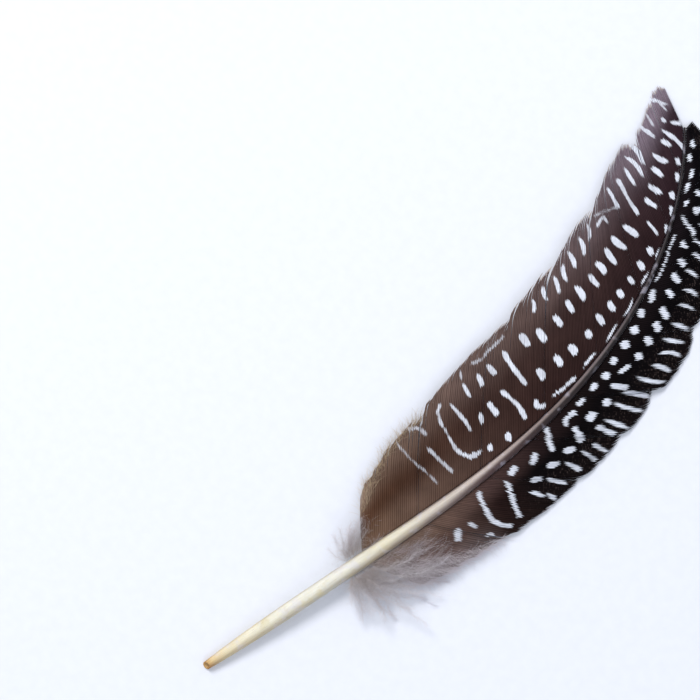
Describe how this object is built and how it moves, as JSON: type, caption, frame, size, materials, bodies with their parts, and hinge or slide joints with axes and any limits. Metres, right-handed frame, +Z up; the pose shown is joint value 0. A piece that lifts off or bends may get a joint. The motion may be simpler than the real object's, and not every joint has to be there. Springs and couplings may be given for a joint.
{
  "type": "quill feather",
  "caption": "Natural uncut quill: a curved spotted wing feather with a hollow barrel, a tapering shaft and barbed vanes that flex about it.",
  "frame": {"origin": "middle of the rectangle that the lying feather covers, on the table", "axes": "+Y from the calamus's point to the feather's tip, +X to the narrow leading vane, +Z up from the table, out of the feather's upper side"},
  "size_m": [0.0484, 0.1774, 0.0074],
  "materials": {
    "calamus_horn": "satin",
    "rachis_horn": "satin",
    "pith": "matte",
    "dried_pulp": "matte",
    "trailing_barbs": "matte",
    "leading_barbs": "matte",
    "down": "matte"
  },
  "bodies": {
    "shaft": {"calamus_barrel": "calamus_horn", "rachis_cortex": "rachis_horn", "rachis_pith": "pith", "pulp_caps": "dried_pulp", "tip_plug": "dried_pulp", "trailing_down": "down", "leading_down": "down", "afterfeather_tuft": "down"},
    "trailing_section_1": {"trailing_vane_1": "trailing_barbs"},
    "trailing_section_2": {"trailing_vane_2": "trailing_barbs"},
    "trailing_section_3": {"trailing_vane_3": "trailing_barbs"},
    "trailing_section_4": {"trailing_vane_4": "trailing_barbs"},
    "trailing_section_5": {"trailing_vane_5": "trailing_barbs"},
    "trailing_section_6": {"trailing_vane_6": "trailing_barbs"},
    "trailing_section_7": {"trailing_vane_7": "trailing_barbs"},
    "trailing_section_8": {"trailing_vane_8": "trailing_barbs"},
    "leading_section_1": {"leading_vane_1": "leading_barbs"},
    "leading_section_2": {"leading_vane_2": "leading_barbs"},
    "leading_section_3": {"leading_vane_3": "leading_barbs"},
    "leading_section_4": {"leading_vane_4": "leading_barbs"},
    "leading_section_5": {"leading_vane_5": "leading_barbs"},
    "leading_section_6": {"leading_vane_6": "leading_barbs"},
    "leading_section_7": {"leading_vane_7": "leading_barbs"},
    "leading_section_8": {"leading_vane_8": "leading_barbs"}
  },
  "joints": [
    {"name": "trailing_flex_1", "type": "hinge", "parent": "shaft", "child": "trailing_section_1", "pos_m": [-0.0057, -0.03565, 0.00488], "axis": [0.2903, 0.9553, 0.0562], "range_deg": [-8, 30], "stiffness_Nm_per_rad": 0.000933},
    {"name": "trailing_flex_2", "type": "hinge", "parent": "shaft", "child": "trailing_section_2", "pos_m": [-0.00097, -0.01887, 0.00564], "axis": [0.2543, 0.9666, 0.0321], "range_deg": [-8, 30], "stiffness_Nm_per_rad": 0.001108},
    {"name": "trailing_flex_3", "type": "hinge", "parent": "shaft", "child": "trailing_section_3", "pos_m": [0.00317, 0.00004, 0.00599], "axis": [0.1742, 0.9847, 0.005], "range_deg": [-8, 30], "stiffness_Nm_per_rad": 0.001164},
    {"name": "trailing_flex_4", "type": "hinge", "parent": "shaft", "child": "trailing_section_4", "pos_m": [0.0054, 0.01922, 0.00583], "axis": [0.0531, 0.9983, -0.0222], "range_deg": [-8, 30], "stiffness_Nm_per_rad": 0.001104},
    {"name": "trailing_flex_5", "type": "hinge", "parent": "shaft", "child": "trailing_section_5", "pos_m": [0.00503, 0.0375, 0.00519], "axis": [-0.098, 0.994, -0.048], "range_deg": [-8, 30], "stiffness_Nm_per_rad": 0.001045},
    {"name": "trailing_flex_6", "type": "hinge", "parent": "shaft", "child": "trailing_section_6", "pos_m": [0.0017, 0.05495, 0.00411], "axis": [-0.2741, 0.9589, -0.0729], "range_deg": [-8, 30], "stiffness_Nm_per_rad": 0.001046},
    {"name": "trailing_flex_7", "type": "hinge", "parent": "shaft", "child": "trailing_section_7", "pos_m": [-0.00361, 0.06931, 0.00285], "axis": [-0.4407, 0.8927, -0.094], "range_deg": [-8, 30], "stiffness_Nm_per_rad": 0.00075},
    {"name": "trailing_flex_8", "type": "hinge", "parent": "shaft", "child": "trailing_section_8", "pos_m": [-0.00976, 0.07973, 0.00161], "axis": [-0.5763, 0.8097, -0.1103], "range_deg": [-8, 30], "stiffness_Nm_per_rad": 0.000659},
    {"name": "leading_flex_1", "type": "hinge", "parent": "shaft", "child": "leading_section_1", "pos_m": [-0.00194, -0.03621, 0.00491], "axis": [-0.2619, -0.9635, -0.0553], "range_deg": [-5, 30], "stiffness_Nm_per_rad": 0.000997},
    {"name": "leading_flex_2", "type": "hinge", "parent": "shaft", "child": "leading_section_2", "pos_m": [0.00234, -0.01918, 0.00566], "axis": [-0.2258, -0.9737, -0.0311], "range_deg": [-5, 30], "stiffness_Nm_per_rad": 0.001059},
    {"name": "leading_flex_3", "type": "hinge", "parent": "shaft", "child": "leading_section_3", "pos_m": [0.00553, -0.00341, 0.006], "axis": [-0.1637, -0.9865, -0.009], "range_deg": [-5, 30], "stiffness_Nm_per_rad": 0.000819},
    {"name": "leading_flex_4", "type": "hinge", "parent": "shaft", "child": "leading_section_4", "pos_m": [0.0073, 0.01057, 0.006], "axis": [-0.0861, -0.9962, 0.0102], "range_deg": [-5, 30], "stiffness_Nm_per_rad": 0.000819},
    {"name": "leading_flex_5", "type": "hinge", "parent": "shaft", "child": "leading_section_5", "pos_m": [0.0077, 0.02616, 0.00565], "axis": [0.0241, -0.9992, 0.0315], "range_deg": [-5, 30], "stiffness_Nm_per_rad": 0.001001},
    {"name": "leading_flex_6", "type": "hinge", "parent": "shaft", "child": "leading_section_6", "pos_m": [0.00577, 0.04413, 0.00485], "axis": [0.1808, -0.9819, 0.0561], "range_deg": [-5, 30], "stiffness_Nm_per_rad": 0.001122},
    {"name": "leading_flex_7", "type": "hinge", "parent": "shaft", "child": "leading_section_7", "pos_m": [0.00047, 0.0624, 0.00352], "axis": [0.3719, -0.9246, 0.082], "range_deg": [-5, 30], "stiffness_Nm_per_rad": 0.001123},
    {"name": "leading_flex_8", "type": "hinge", "parent": "shaft", "child": "leading_section_8", "pos_m": [-0.00775, 0.07809, 0.00186], "axis": [0.5606, -0.8213, 0.1058], "range_deg": [-5, 30], "stiffness_Nm_per_rad": 0.00097}
  ]
}
